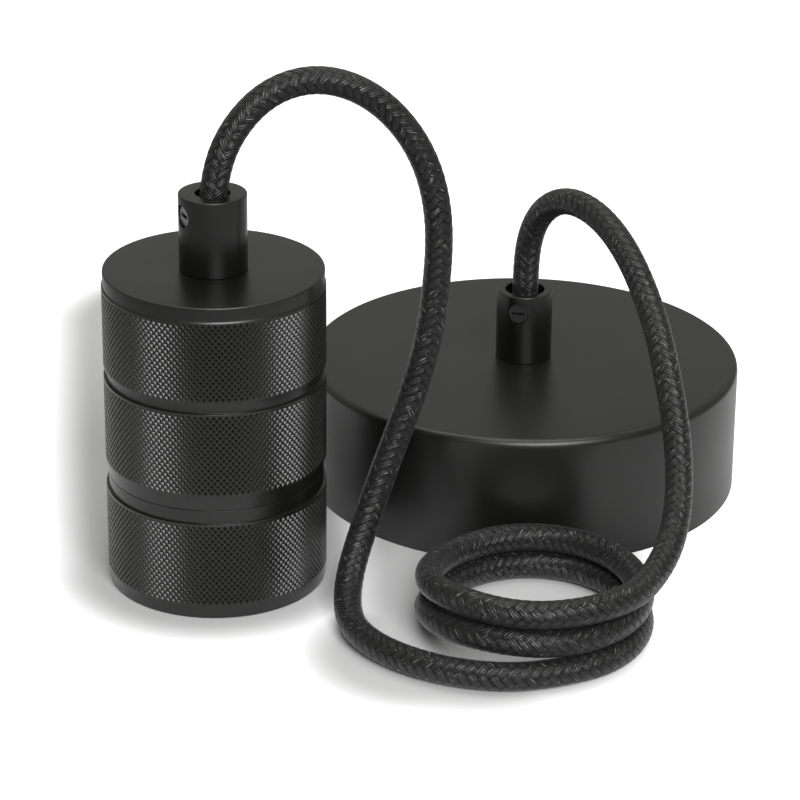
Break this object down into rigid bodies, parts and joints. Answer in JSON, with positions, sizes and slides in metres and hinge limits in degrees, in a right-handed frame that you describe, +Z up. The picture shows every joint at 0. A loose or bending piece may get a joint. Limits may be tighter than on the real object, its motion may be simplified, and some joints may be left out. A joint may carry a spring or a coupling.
{
  "type": "pendant cord set",
  "caption": "Knurled black lamp holder and round ceiling rose joined by a black braided cord that lies in a small coil.",
  "frame": {"origin": "on the table, under the middle of the box around the lamp holder and the ceiling rose together", "axes": "+Z up, along the axes of holder and rose; +X from the holder's side to the rose's side; +Y away from the coil, towards the back of the picture"},
  "size_m": [0.143, 0.1612, 0.1139],
  "materials": {
    "black_steel": "fine satin black powder coat on steel",
    "black_aluminium": "black anodised, fine satin; the shell is knurled",
    "black_screw": "blackened steel screw",
    "zinc_steel": "bright zinc plated steel",
    "nickel_brass": "nickel plated brass",
    "white_ceramic": "white glazed steatite",
    "black_braid": "black textile braid over a round flexible cord",
    "brown_core": "brown core insulation",
    "blue_core": "blue core insulation",
    "earth_core": "green and yellow core insulation"
  },
  "bodies": {
    "root": {"rose_cup": "black_steel", "holder_upper_shell": "black_aluminium", "holder_lower_ring": "black_aluminium", "holder_grip": "black_aluminium", "rose_grip": "black_aluminium", "rose_grip_screw": "black_screw", "side_screw_front": "black_screw", "side_screw_back": "black_screw", "rose_washer": "zinc_steel", "rose_nut": "zinc_steel", "holder_washer": "zinc_steel", "holder_nut": "zinc_steel", "ceiling_bracket": "zinc_steel", "socket_bridge": "zinc_steel", "block_screw": "zinc_steel", "rose_earth_screw": "zinc_steel", "holder_earth_screw": "zinc_steel", "holder_grip_screw": "zinc_steel", "insert_screw_left": "zinc_steel", "insert_screw_right": "zinc_steel", "live_terminal_screw": "zinc_steel", "neutral_terminal_screw": "zinc_steel", "screw_shell": "nickel_brass", "centre_contact": "nickel_brass", "live_terminal": "nickel_brass", "neutral_terminal": "nickel_brass", "terminal_sleeve_live": "nickel_brass", "terminal_sleeve_neutral": "nickel_brass", "terminal_screw_live_cord": "nickel_brass", "terminal_screw_live_mains": "nickel_brass", "terminal_screw_neutral_cord": "nickel_brass", "terminal_screw_neutral_mains": "nickel_brass", "rose_earth_lug": "nickel_brass", "holder_earth_lug": "nickel_brass", "socket_body": "white_ceramic", "terminal_block": "white_ceramic", "cord_to_holder": "black_braid", "cord_coil": "black_braid", "cord_to_rose": "black_braid", "core_live_rose": "brown_core", "core_live_holder": "brown_core", "core_neutral_rose": "blue_core", "core_neutral_holder": "blue_core", "core_earth_rose": "earth_core", "core_earth_holder": "earth_core"}
  },
  "joints": []
}
